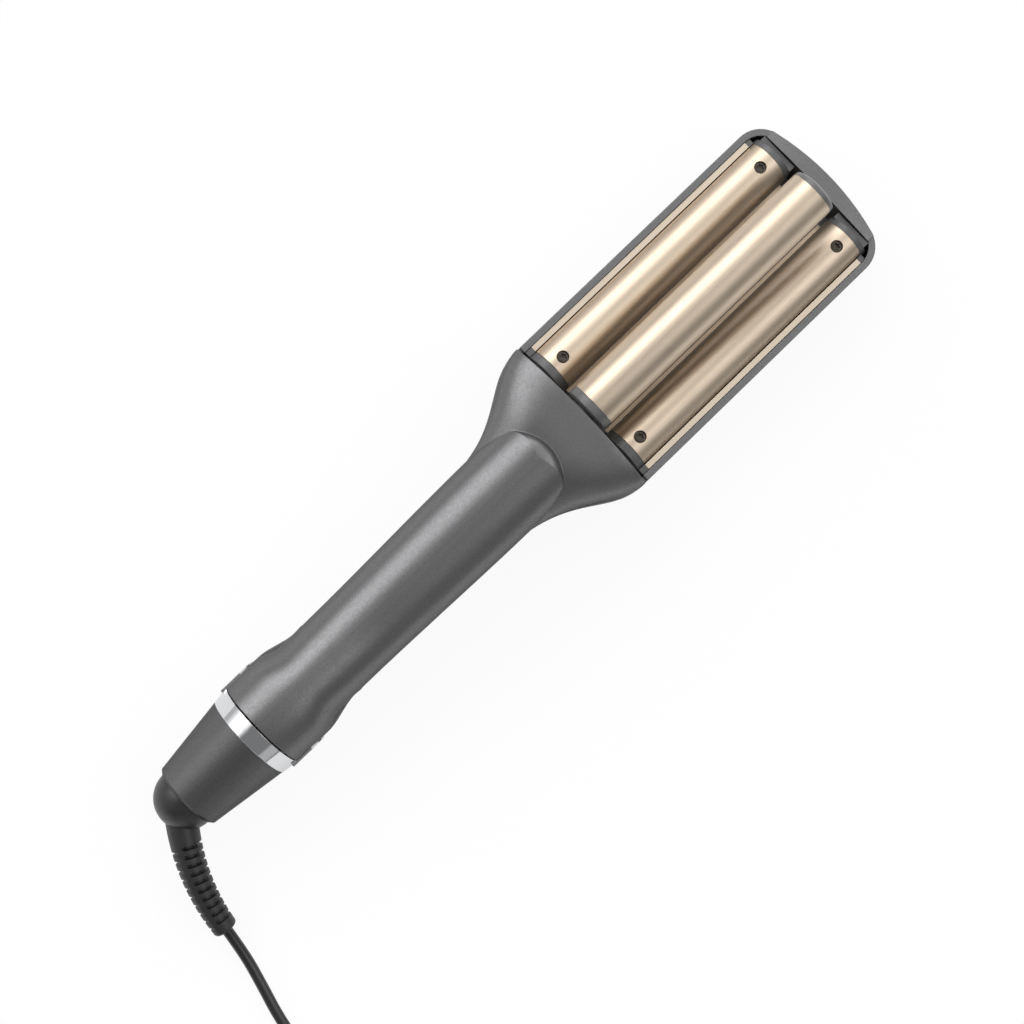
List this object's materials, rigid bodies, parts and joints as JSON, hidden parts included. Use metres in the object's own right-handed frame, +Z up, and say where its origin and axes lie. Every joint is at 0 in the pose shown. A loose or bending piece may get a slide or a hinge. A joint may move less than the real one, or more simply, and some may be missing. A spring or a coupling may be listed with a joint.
{
  "type": "hair waver",
  "caption": "Squeeze-type triple-barrel hair waver: sprung arms on a chrome tail hinge, a lifting middle barrel over a rimmed tray, a control panel and a swivel cord.",
  "frame": {"origin": "on the floor, under the middle of the waver's length and width, cord left out", "axes": "+X from the cord swivel to the tip, +Z up from the floor through the lying back arm to the lifted front arm, +Y to the left when looking to the tip"},
  "size_m": [0.4916, 0.1915, 0.0602],
  "materials": {
    "housing": "satin",
    "inner_plastic": "matte",
    "tail_paint": "satin",
    "cap_plastic": "satin",
    "barrel_coating": "satin",
    "side_strip": "satin",
    "chrome": "polished",
    "steel": "satin",
    "dark_screw": "satin",
    "heat_metal": "satin",
    "heater_ceramic": "matte",
    "sensor_glass": "gloss",
    "wire": "matte",
    "bearing_plastic": "satin",
    "contact_board": "satin",
    "contact_metal": "polished",
    "ball_plastic": "satin",
    "relief_rubber": "matte",
    "panel_plastic": "gloss",
    "window": "gloss",
    "electronics": "matte",
    "button_plastic": "satin",
    "cord_pvc": "satin",
    "tie_plastic": "matte",
    "plug_plastic": "satin"
  },
  "bodies": {
    "front_arm": {"front_shell": "housing", "front_liner": "inner_plastic", "front_liner_screws": "dark_screw", "centre_barrel": "barrel_coating", "centre_near_cap": "cap_plastic", "centre_far_cap": "cap_plastic", "centre_spine": "steel", "centre_heat_shoes": "heat_metal", "centre_heater": "heater_ceramic", "centre_sensor": "sensor_glass", "front_leads": "wire", "hinge_yoke": "chrome", "hinge_pin": "steel", "tail_frame": "inner_plastic", "tail_cone": "tail_paint", "swivel_bush": "bearing_plastic", "slip_ring_disc": "contact_board", "slip_rings": "contact_metal"},
    "back_arm": {"back_shell": "housing", "back_liner": "inner_plastic", "back_liner_screws": "dark_screw", "bump_pads": "relief_rubber", "opening_spring": "steel", "barrel_carrier": "inner_plastic", "left_barrel": "barrel_coating", "right_barrel": "barrel_coating", "left_strip": "side_strip", "right_strip": "side_strip", "left_heat_shoe": "heat_metal", "right_heat_shoe": "heat_metal", "left_heater": "heater_ceramic", "right_heater": "heater_ceramic", "left_heater_spring": "steel", "right_heater_spring": "steel", "outer_sensors": "sensor_glass", "face_screws": "dark_screw", "thermal_fuse": "heater_ceramic", "control_panel": "panel_plastic", "display_window": "window", "display_module": "electronics", "control_board": "contact_board", "button_switches": "electronics", "back_leads": "wire"},
    "power_button": {"power_button": "button_plastic"},
    "plus_button": {"plus_button": "button_plastic"},
    "minus_button": {"minus_button": "button_plastic"},
    "swivel": {"swivel_ball": "ball_plastic", "strain_relief": "relief_rubber", "wiper_contacts": "contact_metal", "cord_tube": "cord_pvc", "cord_coil": "cord_pvc", "cord_lead": "cord_pvc", "cord_tie": "tie_plastic", "plug_body": "plug_plastic", "plug_blades": "steel"}
  },
  "joints": [
    {"name": "arm_hinge", "type": "hinge", "parent": "front_arm", "child": "back_arm", "pos_m": [-0.11933, 0, 0.02389], "axis": [0, -1, 0], "range_deg": [0, 6], "stiffness_Nm_per_rad": 2, "springref_deg": -20, "deforming": ["opening_spring"]},
    {"name": "power_press", "type": "slide", "parent": "back_arm", "child": "power_button", "axis": [0, 0, 1], "range_m": [0, 0.0005], "stiffness_N_per_m": 1500, "springref_m": -0.0003},
    {"name": "plus_press", "type": "slide", "parent": "back_arm", "child": "plus_button", "axis": [0, 0, 1], "range_m": [0, 0.0005], "stiffness_N_per_m": 1500, "springref_m": -0.0003},
    {"name": "minus_press", "type": "slide", "parent": "back_arm", "child": "minus_button", "axis": [0, 0, 1], "range_m": [0, 0.0005], "stiffness_N_per_m": 1500, "springref_m": -0.0003},
    {"name": "cord_swivel", "type": "hinge", "parent": "front_arm", "child": "swivel", "pos_m": [-0.16617, 0, 0.01897], "axis": [0.9945, 0, 0.1045], "continuous": true}
  ]
}
